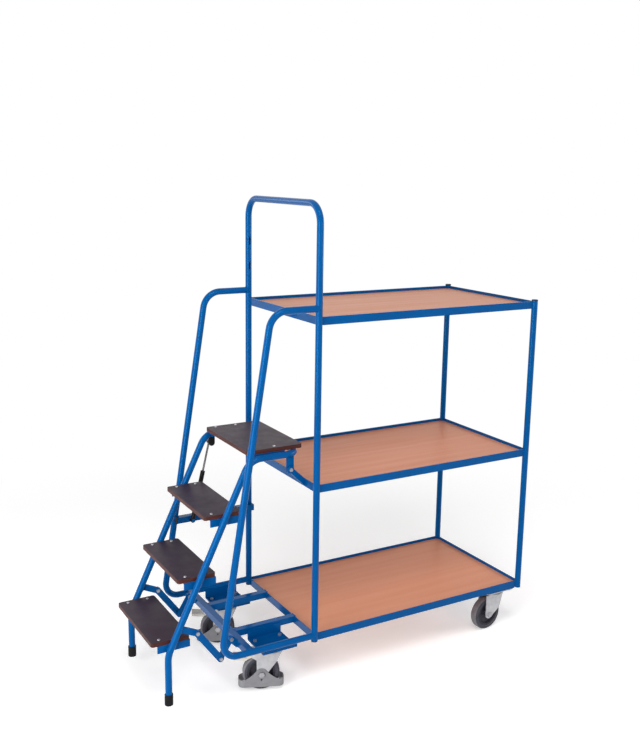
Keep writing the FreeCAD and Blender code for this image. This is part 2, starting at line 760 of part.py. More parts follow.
# Gas strut

def strut_frame():
    """Lower eye, unit vector up the strut and the distance between its eyes."""
    low = vec(STRUT_LOW[0], STRUT_Y, STRUT_LOW[1])
    along = vec(STRUT_TOP[0], STRUT_Y, STRUT_TOP[1]) - low
    length = along.Length
    return low, along.normalize(), length


def strut_stud(place, y_root, y_step, y_head):
    """Shouldered stud with a retaining head, along Y."""
    side = 1 if y_head > y_root else -1
    direction = Y_AXIS * side
    shoulder = cylinder(vec(place[0], y_root, place[1]), direction, STRUT_HEAD_D / 2, abs(y_step - y_root))
    pin = cylinder(vec(place[0], y_step, place[1]), direction, STRUT_STUD_D / 2, abs(y_head - y_step))
    head = cylinder(vec(place[0], y_head, place[1]), direction, STRUT_HEAD_D / 2, STRUT_HEAD_T)
    return [shoulder, pin, head]


def strut_upper_bracket():
    """Plate under the far stringer's bend, with the strut's upper stud."""
    y1 = LADDER_Y + TUBE_R - STRUT_PLATE_INSET
    y0 = y1 - STRUT_BRACKET_T
    half = STRUT_BRACKET_W / 2
    upper = box(STRUT_TOP[0] - half, STRUT_TOP[0] + half, y0, y1, STRUT_TOP[1], RUN_Z)
    plate = joined([upper, pin_y(STRUT_TOP[0], STRUT_TOP[1], half, y0, y1)])
    plate = plate.cut(ladder_bar(TUBE_D + 2 * WELD_GAP))
    reach = STRUT_EYE_W / 2 + FACE_GAP
    stud = strut_stud(STRUT_TOP, y1, STRUT_Y - reach, STRUT_Y + reach)
    return joined([solid_of(plate)] + stud)


def solid_of(shape):
    """The largest solid of a cut shape."""
    return max(shape.Solids, key=lambda solid: solid.Volume)


def brace_span():
    """X values of the strut brace's two ends."""
    return rail_x(STRUT_LOW_Z) - BRACE_END, LEG_X + BRACE_END


def strut_brace():
    """Square tube from the far handrail to the far handle leg, with the strut's lower stud."""
    half = BASE_TUBE / 2
    y0 = BRACE_Y - half
    tube = square_tube(*brace_span(), y0, BRACE_Y + half, STRUT_LOW_Z - half, STRUT_LOW_Z + half, "x")
    reach = STRUT_EYE_W / 2 + FACE_GAP
    stud = strut_stud(STRUT_LOW, y0, STRUT_Y + reach, STRUT_Y - reach)
    return joined([tube] + stud)


def brace_caps():
    """Square plastic caps with a spigot, in both ends of the strut brace."""
    half = BASE_TUBE / 2
    half_spigot = half - BASE_WALL - HOLE_GAP
    y = BRACE_Y
    z = STRUT_LOW_Z
    caps = []
    for x, outward in zip(brace_span(), (-1, 1)):
        ends = sorted((x, x + outward * CAP_T))
        disc = box(*ends, y - half, y + half, z - half, z + half)
        ends = sorted((x, x - outward * CAP_SPIGOT))
        spigot = box(*ends, y - half_spigot, y + half_spigot, z - half_spigot, z + half_spigot)
        caps.append(joined([disc, spigot]))
    return caps


def eye(centre, gap):
    """Ring along Y with its hole, as an outer solid and the hole to cut."""
    y0 = STRUT_Y - STRUT_EYE_W / 2
    y1 = STRUT_Y + STRUT_EYE_W / 2
    outside = pin_y(centre.x, centre.z, STRUT_EYE_D / 2, y0, y1)
    return outside, pin_y(centre.x, centre.z, STRUT_STUD_D / 2 + gap, y0, y1)


def strut_cylinder():
    low, along = strut_frame()[:2]
    outside, hole = eye(low, RUN_GAP)
    body = cylinder(low, along, STRUT_CYLINDER_D / 2, STRUT_CYLINDER_L)
    shell = joined([outside, body])
    # the body keeps clear of the stud's shoulder and head
    shell = shell.cut(side_clearance(low, STRUT_EYE_W / 2, STRUT_CYLINDER_D))
    shell = shell.cut(side_clearance(low, -STRUT_EYE_W / 2, STRUT_CYLINDER_D))
    floor = low + along * (STRUT_EYE_D / 2 + STRUT_END_WALL)
    depth = STRUT_CYLINDER_L - STRUT_EYE_D / 2 - STRUT_END_WALL
    bore = cylinder(floor, along, STRUT_ROD_D / 2 + RUN_GAP, depth)
    return shell.cut(hole).cut(bore)


def side_clearance(centre, offset, width):
    """Block beside an eye, which leaves the eye's width free for the stud's head."""
    y = STRUT_Y + offset
    y0 = min(y, y + math.copysign(width, offset))
    y1 = max(y, y + math.copysign(width, offset))
    half = STRUT_EYE_D / 2
    return box(centre.x - half, centre.x + half, y0, y1, centre.z - half, centre.z + half)


def strut_rod():
    low, along, length = strut_frame()
    top = low + along * length
    outside, hole = eye(top, OPEN_EYE_GAP)
    start = low + along * (STRUT_CYLINDER_L - STRUT_ROD_INSIDE)
    bar = cylinder(start, along, STRUT_ROD_D / 2, (top - start).Length)
    return joined([outside, bar]).cut(hole)


# Casters, made about their king pin at X = 0, Y = 0

def caster_top_plate():
    """Plate with the ball race, the king pin and its nut."""
    plate_low = CASTER_H - TOP_PLATE_T
    half_x = TOP_PLATE_X / 2
    half_y = TOP_PLATE_Y / 2
    plate = rounded_block(-half_x, half_x, -half_y, half_y, plate_low, CASTER_H, TOP_PLATE_CORNER)
    plate = drilled(plate, plate_bolt_places(0, 0), PLATE_BOLT_D, plate_low, CASTER_H)
    race = cylinder(vec(0, 0, plate_low), -Z_AXIS, RACE_D / 2, RACE_H)
    crown_low = CROWN_TOP - CROWN_T
    pin_low = crown_low - FACE_GAP
    pin = cylinder(vec(0, 0, pin_low), Z_AXIS, KING_PIN_D / 2, plate_low - pin_low)
    nut = cylinder(vec(0, 0, pin_low), -Z_AXIS, KING_NUT_D / 2, KING_NUT_H)
    return joined([plate, race, pin, nut])


def cheek_outline(with_pedal):
    """Outline of a fork cheek, from the axle's boss up to the crown and back."""
    axle_x = -SWIVEL_OFFSET
    boss = FORK_BOSS_D / 2
    front = axle_x - boss
    root = (axle_x + ROOT_ACROSS * boss, AXLE_Z - ROOT_DOWN * boss)
    waist_up = CHEEK_WAIST_UP if with_pedal else REAR_CHEEK_WAIST_UP
    outline = [root, (CHEEK_WAIST_BACK, AXLE_Z + waist_up), (CHEEK_BACK, CROWN_TOP)]
    if with_pedal:
        pivot_x, pivot_z = pedal_pivot()
        ear_x = pivot_x - PEDAL_HUB_D / 2
        ear_z = pivot_z - PEDAL_HUB_D / 2
        outline += [(ear_x, CROWN_TOP), (ear_x, ear_z), (front, ear_z - EAR_DROP)]
    else:
        outline += [(front, CROWN_TOP)]
    return outline + [(front, AXLE_Z), (axle_x, AXLE_Z)]


def pedal_pivot():
    return -SWIVEL_OFFSET - PEDAL_PIVOT_BACK, WHEEL_D + PEDAL_PIVOT_LIFT


def fork(with_pedal):
    """Pressed fork: a crown on the king pin and two cheeks down to the axle."""
    axle = (-SWIVEL_OFFSET, AXLE_Z)
    crown_low = CROWN_TOP - CROWN_T
    crown = cylinder(vec(0, 0, crown_low), Z_AXIS, CROWN_D / 2, CROWN_T)
    cheek = joined([plate_xz(cheek_outline(with_pedal), FORK_GAP / 2, FORK_Y),
                    pin_y(axle[0], axle[1], FORK_BOSS_D / 2, FORK_GAP / 2, FORK_Y)])
    body = joined([crown] + both_sides(cheek))
    body = body.cut(cylinder(vec(0, 0, crown_low), Z_AXIS, KING_PIN_D / 2 + RUN_GAP, CROWN_T))
    body = drilled_y(body, axle, AXLE_D / 2 + HOLE_GAP, -FORK_Y, FORK_Y)
    if with_pedal:
        body = drilled_y(body, pedal_pivot(), PEDAL_PIN_D / 2 + RUN_GAP, -FORK_Y, FORK_Y)
    return body


def polygon_wire(points):
    corners = [vec(radius, across, 0) for radius, across in points]
    return Part.makePolygon(corners + corners[:1])


def hub():
    """Moulded wheel centre: bore, boss, web and rim."""
    bore = AXLE_D / 2 + RUN_GAP
    boss = HUB_BOSS_D / 2
    rim = WHEEL_D / 2 - TYRE_T - WELD_GAP
    rim_side = TYRE_W / 2 - HUB_RIM_INSET
    half = [(rim - HUB_RIM_T, HUB_WEB_T / 2), (boss, HUB_WEB_T / 2), (boss, HUB_W / 2), (bore, HUB_W / 2)]
    upper = [(rim, rim_side), (rim - HUB_RIM_T, rim_side)] + half
    lower = [(radius, -across) for radius, across in reversed(upper)]
    return turned(polygon_wire(upper + lower), -SWIVEL_OFFSET, AXLE_Z)


def tyre():
    """Rubber tyre with round shoulders."""
    inner = WHEEL_D / 2 - TYRE_T
    outer = WHEEL_D / 2
    half = TYRE_W / 2
    flat = half - TYRE_SHOULDER
    lean = TYRE_SHOULDER * math.sqrt(0.5)
    corners = [vec(inner, half, 0), vec(inner, -half, 0), vec(outer - TYRE_SHOULDER, -half, 0),
               vec(outer, -flat, 0), vec(outer, flat, 0), vec(outer - TYRE_SHOULDER, half, 0)]
    low_mid = vec(outer - TYRE_SHOULDER + lean, -flat - lean, 0)
    high_mid = vec(outer - TYRE_SHOULDER + lean, flat + lean, 0)
    edges = [Part.LineSegment(corners[0], corners[1]), Part.LineSegment(corners[1], corners[2]),
             Part.Arc(corners[2], low_mid, corners[3]), Part.LineSegment(corners[3], corners[4]),
             Part.Arc(corners[4], high_mid, corners[5]), Part.LineSegment(corners[5], corners[0])]
    return turned(Part.Wire([edge.toShape() for edge in edges]), -SWIVEL_OFFSET, AXLE_Z)


def axle(with_guard):
    """Axle bolt through the fork, and through the guard where there is one."""
    half = FORK_Y + (WELD_GAP + GUARD_T if with_guard else 0.0)
    return bolt(vec(-SWIVEL_OFFSET, -half, AXLE_Z), Y_AXIS, AXLE_D, 2 * half)


def guard_side(y0, y1):
    """Side of the foot guard: a band with a web that rises to the axle in two hollow curves."""
    axle_x = -SWIVEL_OFFSET
    half = GUARD_LENGTH / 2 - GUARD_CORNER
    low = GUARD_FLOOR_GAP
    band = GUARD_FLOOR_GAP + GUARD_BAND_H
    boss = FORK_BOSS_D / 2
    neck = AXLE_Z + GUARD_NECK_UP
    left = [vec(axle_x - half, y0, low), vec(axle_x - half, y0, band), vec(axle_x - boss, y0, neck)]
    right = [vec(axle_x + boss, y0, neck), vec(axle_x + half, y0, band), vec(axle_x + half, y0, low)]

    def hollow(start, end):
        middle = (start + end) * 0.5 - Z_AXIS * GUARD_SAG
        return Part.Arc(start, middle, end).toShape()

    crest = Part.Arc(left[2], vec(axle_x, y0, neck + GUARD_CREST), right[0]).toShape()
    edges = [Part.LineSegment(left[0], left[1]).toShape(), hollow(left[1], left[2]), crest,
             hollow(right[0], right[1]), Part.LineSegment(right[1], right[2]).toShape(),
             Part.LineSegment(right[2], left[0]).toShape()]
    return Part.Face(Part.Wire(edges)).extrude(vec(0, y1 - y0, 0))


def foot_guard():
    """Band all round the wheel, hung on the axle bolt."""
    axle_x = -SWIVEL_OFFSET
    half_x = GUARD_LENGTH / 2
    inner_y = FORK_Y + WELD_GAP
    outer_y = inner_y + GUARD_T
    low = GUARD_FLOOR_GAP
    high = GUARD_FLOOR_GAP + GUARD_BAND_H
    outside = rounded_block(axle_x - half_x, axle_x + half_x, -outer_y, outer_y, low, high, GUARD_CORNER)
    inside = rounded_block(axle_x - half_x + GUARD_T, axle_x + half_x - GUARD_T, -inner_y, inner_y,
                           low, high, GUARD_CORNER - GUARD_T)
    far = guard_side(inner_y, outer_y)
    guard = joined([outside.cut(inside)] + both_sides(far))
    guard = drilled_y(guard, (axle_x, AXLE_Z), AXLE_D / 2 + HOLE_GAP, -outer_y, outer_y)
    small_hole = (axle_x, AXLE_Z - GUARD_HOLE_DROP)
    return drilled_y(guard, small_hole, GUARD_HOLE_D / 2, -outer_y, outer_y)


def brake_pedal():
    """Lever on two trunnions between the fork's cheeks, with a wider tread pad past its knee."""
    x, z = pedal_pivot()
    half_hub = FORK_GAP / 2 - PEDAL_SIDE_GAP
    half_arm = FORK_GAP / 2 - PEDAL_ARM_GAP
    lift = PEDAL_HUB_D / 2
    knee = (x - PEDAL_KNEE, z - PEDAL_DIP)
    tip = (x - PEDAL_LENGTH, knee[1] + PEDAL_RISE)
    knee_low = (knee[0], knee[1] - PEDAL_T)
    tip_low = (tip[0], tip[1] - PEDAL_T)
    arm = plate_xz([(x, z - lift), (x, z + lift), knee, knee_low], -half_arm, half_arm)
    pad = plate_xz([knee, tip, tip_low, knee_low], -PEDAL_PAD_W / 2, PEDAL_PAD_W / 2)
    barrel = pin_y(x, z, lift, -half_hub, half_hub)
    trunnions = pin_y(x, z, PEDAL_PIN_D / 2, -FORK_Y, FORK_Y)
    return joined([arm, pad, barrel, trunnions])


CASTERS = {
    "front_near": (FRONT_CASTER_X, -FRONT_CASTER_Y, FRONT_REST_DEG),
    "front_far": (FRONT_CASTER_X, FRONT_CASTER_Y, FRONT_REST_DEG),
    "rear_near": (REAR_CASTER_X, -REAR_CASTER_Y, REAR_REST_DEG),
    "rear_far": (REAR_CASTER_X, REAR_CASTER_Y, REAR_REST_DEG),
}


def standing(shape, place):
    """A caster piece that does not swivel, at its caster's place."""
    return shape.translated(vec(place[0], place[1], 0))


def swivelled(shape, place):
    """A caster piece that swivels, turned about the king pin as it stands at rest."""
    return standing(shape.rotated(vec(0, 0, 0), Z_AXIS, place[2]), place)


def caster_bolts():
    """Bolts through the caster plates or the rear beam and the casters' top plates."""
    bolts = []
    for name, place in CASTERS.items():
        seat_t = CASTER_PLATE_T if name.startswith("front") else BEAM_T
        for bolt_x, bolt_y in plate_bolt_places(place[0], place[1]):
            seat = vec(bolt_x, bolt_y, CASTER_H + seat_t)
            bolts.append(bolt(seat, -Z_AXIS, PLATE_BOLT_D, TOP_PLATE_T + seat_t))
    return bolts


def save(name, shapes):
    """Writes one node, moved to the trolley's own origin."""
    solids = [solid for shape in shapes for solid in shape.Solids]
    moved = [solid.translated(vec(ORIGIN_SHIFT, 0, 0)) for solid in solids]
    whole = moved[0] if len(moved) == 1 else Part.makeCompound(moved)
    whole.exportStep(os.path.join("parts", name + ".step"))


def save_chassis():
    save("push_handle", [push_handle()])
    save("rear_posts", rear_posts())
    save("tube_caps", tube_caps() + brace_caps())
    for name, rim_top in (("lower", LOWER_RIM_TOP), ("middle", MIDDLE_RIM_TOP), ("upper", UPPER_RIM_TOP)):
        save(name + "_shelf_frame", [shelf_frame(rim_top)])
        save(name + "_shelf_board", [shelf_board(rim_top)])
    near_rail, far_rail = both_sides(handrail())
    save("handrail_near", [near_rail])
    save("handrail_far", [far_rail])
    save("front_cross_tube", [front_cross_tube()])
    save("inner_tubes", inner_tubes())
    save("caster_plates", caster_plates())
    save("rear_caster_beam", [rear_caster_beam()])
    save("ladder_hinge_tabs", ladder_hinge_tabs())
    save("rocker_lugs", rocker_lugs())
    save("pivot_bolts", pivot_bolts())
    save("strut_brace", [strut_brace()])
    save("caster_top_plates", [standing(caster_top_plate(), place) for place in CASTERS.values()])
    save("caster_bolts", caster_bolts())


def save_ladder():
    save("ladder_tube", [ladder_tube()])
    save("ladder_feet", ladder_feet())
    brackets = []
    for number, span in enumerate(step_spans(), start=1):
        save("step_board_%d" % number, [step_board(span)])
        brackets += step_brackets(span)
    save("step_brackets", brackets)
    save("step_screws", step_screws())
    save("ladder_hinge_plates", ladder_hinge_plates())
    save("link_arms", link_arms())
    save("link_bolts", link_bolts())
    save("strut_upper_bracket", [strut_upper_bracket()])


def save_linkage():
    for name, piece in (("link_bar", link_bar()), ("rocker", rocker())):
        near, far = both_sides(piece)
        save(name + "_near", [near])
        save(name + "_far", [far])
    save("strut_cylinder", [strut_cylinder()])
    save("strut_rod", [strut_rod()])


def save_casters():
    for name, place in CASTERS.items():
        braked = name.startswith("front")
        save("fork_" + name, [swivelled(fork(braked), place)])
        save("hub_" + name, [swivelled(hub(), place)])
        save("tyre_" + name, [swivelled(tyre(), place)])
        save("axle_" + name, [swivelled(axle(braked), place)])
        if braked:
            save("foot_guard_" + name, [swivelled(foot_guard(), place)])
            save("brake_pedal_" + name, [swivelled(brake_pedal(), place)])


def main():
    save_chassis()
    save_ladder()
    save_linkage()
    save_casters()


main()
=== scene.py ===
import json
import math

import bmesh
import bpy
from mathutils import Matrix, Vector


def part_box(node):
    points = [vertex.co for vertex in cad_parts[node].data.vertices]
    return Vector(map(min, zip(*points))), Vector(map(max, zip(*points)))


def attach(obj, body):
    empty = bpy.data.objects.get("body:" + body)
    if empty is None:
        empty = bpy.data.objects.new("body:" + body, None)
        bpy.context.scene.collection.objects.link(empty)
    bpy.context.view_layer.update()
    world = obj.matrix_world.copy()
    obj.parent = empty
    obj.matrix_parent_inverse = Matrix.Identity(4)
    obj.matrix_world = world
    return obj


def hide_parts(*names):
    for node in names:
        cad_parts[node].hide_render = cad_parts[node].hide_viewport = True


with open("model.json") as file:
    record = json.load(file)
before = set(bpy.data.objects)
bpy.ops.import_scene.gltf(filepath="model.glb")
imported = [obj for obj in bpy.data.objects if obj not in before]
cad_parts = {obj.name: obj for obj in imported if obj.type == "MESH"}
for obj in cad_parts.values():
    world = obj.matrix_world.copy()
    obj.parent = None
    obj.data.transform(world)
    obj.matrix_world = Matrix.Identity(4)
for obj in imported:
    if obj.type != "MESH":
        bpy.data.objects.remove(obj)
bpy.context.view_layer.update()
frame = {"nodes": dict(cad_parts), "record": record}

# Camera, found by fitting the trolley's lines
CAMERA_AT = Vector((-1.83405, -3.0940, 1.9260))
CAMERA_AZIMUTH = -30.20
CAMERA_ELEVATION = 11.79
CAMERA_ROLL = 0.87
CAMERA_LENS = 46.263
CAMERA_SENSOR = 36.0

# Studio. Near the trolley the floor shows its shadow, and further out it is plain white
WHITE = (1.0, 1.0, 1.0, 1.0)
WORLD_LIGHT = 0.35
FLOOR_COLOUR = (0.88, 0.88, 0.88, 1.0)
FLOOR_LIFT = 0.36
FLOOR_NEAR = 1.5
FLOOR_FAR = 2.8
FLOOR_HALF = 30.0

# Lamps, all aimed at one point
LAMP_AIM = Vector((0.0, 0.0, 0.8))
LAMPS = {
    "left": {"at": (-2.8, -1.3, 1.25), "width": 1.7, "height": 1.8, "power": 72.0},
    "front": {"at": (0.6, -4.8, 2.0), "width": 1.8, "height": 1.8, "power": 22.0},
    "above": {"at": (-0.8, -2.4, 4.4), "width": 1.6, "height": 1.6, "power": 72.0},
    "right": {"at": (4.2, -1.6, 1.8), "width": 2.6, "height": 1.8, "power": 60.0},
    "back": {"at": (-3.0, 3.8, 2.4), "width": 2.0, "height": 1.8, "power": 26.0},
}

# Colours, linear
BLUE = (0.0004, 0.080, 0.276)
BLUE_DEEP = (0.0004, 0.072, 0.252)
BLUE_GLOSS = (0.15, 0.48, 0.88)
BEECH_LIGHT = (0.675, 0.292, 0.170)
BEECH_DARK = (0.635, 0.262, 0.149)
BEECH_FLECK = (0.50, 0.185, 0.100)
FILM_BROWN = (0.031, 0.018, 0.030)
FILM_WORN = (0.039, 0.025, 0.037)
PLY_RED = (0.090, 0.026, 0.020)
PLY_DARK = (0.045, 0.014, 0.012)
ZINC_LIGHT = (0.56, 0.555, 0.575)
ZINC_DARK = (0.465, 0.465, 0.485)
GUARD_GREY = (0.232, 0.232, 0.245)
GUARD_SHADE = (0.195, 0.195, 0.206)
IVORY = (0.66, 0.63, 0.56)
IVORY_SHADE = (0.57, 0.54, 0.47)
TREAD_GREY = (0.215, 0.205, 0.222)
TREAD_SHADE = (0.165, 0.158, 0.172)
TYRE_SIDE = (0.072, 0.071, 0.085)
TYRE_SIDE_SHADE = (0.055, 0.054, 0.066)
HUB_GREY = (0.050, 0.049, 0.062)
HUB_SHADE = (0.034, 0.033, 0.042)
BLACK = (0.006, 0.006, 0.0066)
BLACK_WORN = (0.012, 0.012, 0.0132)
STEEL = (0.46, 0.46, 0.49)
STEEL_SHADE = (0.36, 0.36, 0.385)
ROD_STEEL = (0.16, 0.15, 0.155)
ROD_SHADE = (0.10, 0.095, 0.10)

# Shared by all finishes. A noise keeps mostly between its low and high value
EDGE_ROUND = 0.0007
EDGE_SAMPLES = 4
GRAIN_DEPTH = 0.0004
GRAIN_DETAIL = 2.0
PATCH_DETAIL = 3.0
GLOSS_FINER = 2.5
NOISE_LOW = 0.3
NOISE_HIGH = 0.7
DULL = 0.12

# Beech decor, with scales along X, Y and Z
STREAK_SCALE = (1.6, 38.0, 20.0)
STREAK_DETAIL = 5.0
STREAK_SHARE = 0.75
CLOUD_SCALE = 3.0
CLOUD_DETAIL = 2.0
CLOUD_SHARE = 0.25
FLECK_SCALE = (70.0, 900.0, 60.0)
FLECK_DETAIL = 3.0
FLECK_SHARE = 0.30
FLECK_FROM = 0.58
FLECK_TO = 0.75
FLECK_BUMP = 0.05
BEECH_ROUGH = (0.36, 0.48)
BEECH_SPECULAR = 0.20

# Film-faced plywood
FILM_PATCHES = 9.0
FILM_GLOSS_PATCHES = 22.0
FILM_ROUGH = (0.36, 0.46)
FILM_SPECULAR = 0.14
FILM_FACE = (0.4, 0.8)
MESH_SCALE = (330.0, 330.0, 330.0)
MESH_BUMP = 0.10
PLY_LAYER = 0.0017
PLY_SCALE = (9.0, 9.0, 1.0 / PLY_LAYER)
PLY_DETAIL = 2.0

# Rubber tyres
TYRE_PATCHES = 50.0
TYRE_ROUGH = (0.55, 0.7)
TYRE_GRAIN = 1500.0
TYRE_BUMP = 0.14
TYRE_SIDE_FACE = (0.6, 0.85)

# Solids in one node
MERGE_DISTANCE = 1e-6
SORT_DIGITS = 4

# Weld beads
BEAD_R = 0.0016
BEAD_STEP = 0.0009
BEAD_PITCH = 0.0034
BEAD_RIPPLE = 0.16
BEAD_SIDES = 8
BEAD_FADE = 0.0035
BEAD_END = 0.35
SEAM_MARGIN = 0.002

# Stringers, from the first step's front edge to their middle line, and from there to the seams
STRINGER_BACK = 0.081
WEDGE_OFFSET = 0.0066
ARM_SEAM_BACK = 0.0127

# Straps of the linkage, and the bolt heads that cover plain ones
STRAP_WIDTH = 0.025
HEX_SIDES = 6
LINK_HEAD = 0.0052
LINK_FLATS = 0.0136
LINK_HEAD_PROFILE = [(1.0, 0.0), (1.0, 0.72), (0.90, 1.0)]
HEAD_COVER = 0.0002

# Step screws
STEPS = 4
SCREW_SIDES = 36
SCREW_SHANK = 0.003
SCREW_HEAD_PROFILE = [(1.0, 0.0), (1.0, 0.30), (0.95, 0.55), (0.84, 0.80), (0.70, 0.95), (0.58, 1.0)]
SOCKET_FLATS = 0.0034
SOCKET_DEPTH = 0.0017

# Directions, and the corners of a square
X_AXIS = Vector((1, 0, 0))
Y_AXIS = Vector((0, 1, 0))
Z_AXIS = Vector((0, 0, 1))
SQUARE = [(-1, -1), (1, -1), (1, 1), (-1, 1)]


class Nodes:
    """A node tree, with short ways to add and join nodes."""

    def __init__(self, tree):
        self.tree = tree

    def feed(self, target, value):
        """Joins another node's output to an input, or sets a plain value on it."""
        if isinstance(value, bpy.types.NodeSocket):
            self.tree.links.new(value, target)
        else:
            target.default_value = value

    def fill(self, node, **sockets):
        """Feeds a node's inputs by name, with _ for a space."""
        for name, value in sockets.items():
            self.feed(node.inputs[name.replace("_", " ")], value)
        return node

    def node(self, kind, **sockets):
        """New node with the given inputs."""
        return self.fill(self.tree.nodes.new(kind), **sockets)

    def maths(self, operation, *values, clamp=False):
        """Result of an operation on one or two values."""
        made = self.tree.nodes.new("ShaderNodeMath")
        made.operation = operation
        made.use_clamp = clamp
        for target, value in zip(made.inputs, values):
            self.feed(target, value)
        return made.outputs["Value"]

    def spread(self, value, low, high, start=NOISE_LOW, end=NOISE_HIGH):
        """Maps a stretch of a value, by default the middle of a noise, to a range."""
        made = self.node("ShaderNodeMapRange", Value=value,
                         From_Min=start, From_Max=end, To_Min=low, To_Max=high)
        return made.outputs["Result"]

    def mirrored(self, path):
        """1 for rays that were reflected by gloss or went through glass."""
        glossy = path.outputs["Is Glossy Ray"]
        transmitted = path.outputs["Is Transmission Ray"]
        return self.maths("ADD", glossy, transmitted, clamp=True)


class Shader(Nodes):
    """A piece's material, with the textures that the finishes share."""

    def __init__(self, name):
        self.material = bpy.data.materials.new(name)
        self.material.use_nodes = True
        super().__init__(self.material.node_tree)
        self.surface = self.tree.nodes["Principled BSDF"]
        coordinates = self.node("ShaderNodeTexCoord")
        self.place = coordinates.outputs["Object"]
        self.normal = coordinates.outputs["Normal"]

    def stretched(self, scale):
        """Object coordinates with each axis scaled."""
        return self.node("ShaderNodeMapping", Vector=self.place, Scale=scale).outputs["Vector"]

    def noise(self, scale, detail=PATCH_DETAIL):
        """Noise of a size that is the same along all axes."""
        return self.node("ShaderNodeTexNoise", Vector=self.place, Scale=scale, Detail=detail).outputs["Fac"]

    def stretched_noise(self, scale, detail):
        """Noise of a size that differs along the axes."""
        place = self.stretched(scale)
        return self.node("ShaderNodeTexNoise", Vector=place, Scale=1.0, Detail=detail).outputs["Fac"]

    def blend(self, share, first, second):
        """Mixes two colours, each a linear triple or another node's output."""
        made = self.tree.nodes.new("ShaderNodeMix")
        made.data_type = "RGBA"
        self.fill(made, Factor=share)
        sockets = [socket for socket in made.inputs if socket.type == "RGBA"]
        for socket, colour in zip(sockets, (first, second)):
            self.feed(socket, (*colour, 1.0) if isinstance(colour, tuple) else colour)
        return [socket for socket in made.outputs if socket.type == "RGBA"][0]

    def relief(self, height, strength):
        """Normal of a fine surface grain over softly rounded edges."""
        rounded = self.node("ShaderNodeBevel", Radius=EDGE_ROUND)
        rounded.samples = EDGE_SAMPLES
        grain = self.node("ShaderNodeBump", Height=height, Normal=rounded.outputs["Normal"],
                          Strength=strength, Distance=GRAIN_DEPTH)
        return grain.outputs["Normal"]

    def facing(self, axis, start, end):
        """0 to 1 as a face turns towards an axis, either way along it."""
        axes = self.node("ShaderNodeSeparateXYZ", Vector=self.normal)
        return self.spread(self.maths("ABSOLUTE", axes.outputs[axis]), 0.0, 1.0, start, end)

    def surfaced(self, **sockets):
        """The material, once its surface's inputs are fed."""
        self.fill(self.surface, **sockets)
        return self.material


def mottled(name, first, second, patches, rough, grain, bump, **sockets):
    """Two close colours in soft patches, uneven gloss and a fine surface grain."""
    shader = Shader(name)
    share = shader.spread(shader.noise(patches), 0.0, 1.0)
    return shader.surfaced(
        Base_Color=shader.blend(share, first, second),
        Roughness=shader.spread(shader.noise(patches * GLOSS_FINER), *rough),
        Normal=shader.relief(shader.noise(grain, GRAIN_DETAIL), bump),
        **sockets)


def beech(name):
    """Beech decor: long faint streaks and short dark flecks along the board, under a satin coat."""
    shader = Shader(name)
    streaks = shader.stretched_noise(STREAK_SCALE, STREAK_DETAIL)
    flecks = shader.stretched_noise(FLECK_SCALE, FLECK_DETAIL)
    clouds = shader.noise(CLOUD_SCALE, CLOUD_DETAIL)
    broad = shader.blend(shader.spread(streaks, 0.0, STREAK_SHARE), BEECH_LIGHT, BEECH_DARK)
    uneven = shader.blend(shader.spread(clouds, 0.0, CLOUD_SHARE), broad, BEECH_DARK)
    flecked = shader.spread(flecks, 0.0, FLECK_SHARE, FLECK_FROM, FLECK_TO)
    return shader.surfaced(
        Base_Color=shader.blend(flecked, uneven, BEECH_FLECK),
        Roughness=shader.spread(streaks, *BEECH_ROUGH),
        Normal=shader.relief(flecks, FLECK_BUMP),
        Specular_IOR_Level=BEECH_SPECULAR)


def film_plywood(name):
    """Dark phenolic film with a pressed mesh on the faces, and sealed plywood layers on the edges."""
    shader = Shader(name)
    film = shader.blend(shader.spread(shader.noise(FILM_PATCHES), 0.0, 1.0), FILM_BROWN, FILM_WORN)
    layers = shader.stretched_noise(PLY_SCALE, PLY_DETAIL)
    edge = shader.blend(shader.spread(layers, 0.0, 1.0), PLY_RED, PLY_DARK)
    mesh = shader.node("ShaderNodeTexVoronoi", Vector=shader.stretched(MESH_SCALE), Scale=1.0)
    return shader.surfaced(
        Base_Color=shader.blend(shader.facing("Z", *FILM_FACE), edge, film),
        Roughness=shader.spread(shader.noise(FILM_GLOSS_PATCHES), *FILM_ROUGH),
        Normal=shader.relief(mesh.outputs["Distance"], MESH_BUMP),
        Specular_IOR_Level=FILM_SPECULAR)


def rubber_tyre(name):
    """Grey rubber, lighter on the tread and darker on the sides."""
    shader = Shader(name)
    patches = shader.spread(shader.noise(TYRE_PATCHES), 0.0, 1.0)
    tread = shader.blend(patches, TREAD_GREY, TREAD_SHADE)
    side = shader.blend(patches, TYRE_SIDE, TYRE_SIDE_SHADE)
    return shader.surfaced(
        Base_Color=shader.blend(shader.facing("Y", *TYRE_SIDE_FACE), tread, side),
        Roughness=shader.spread(shader.noise(TYRE_PATCHES * GLOSS_FINER), *TYRE_ROUGH),
        Normal=shader.relief(shader.noise(TYRE_GRAIN, GRAIN_DETAIL), TYRE_BUMP),
        Specular_IOR_Level=DULL)


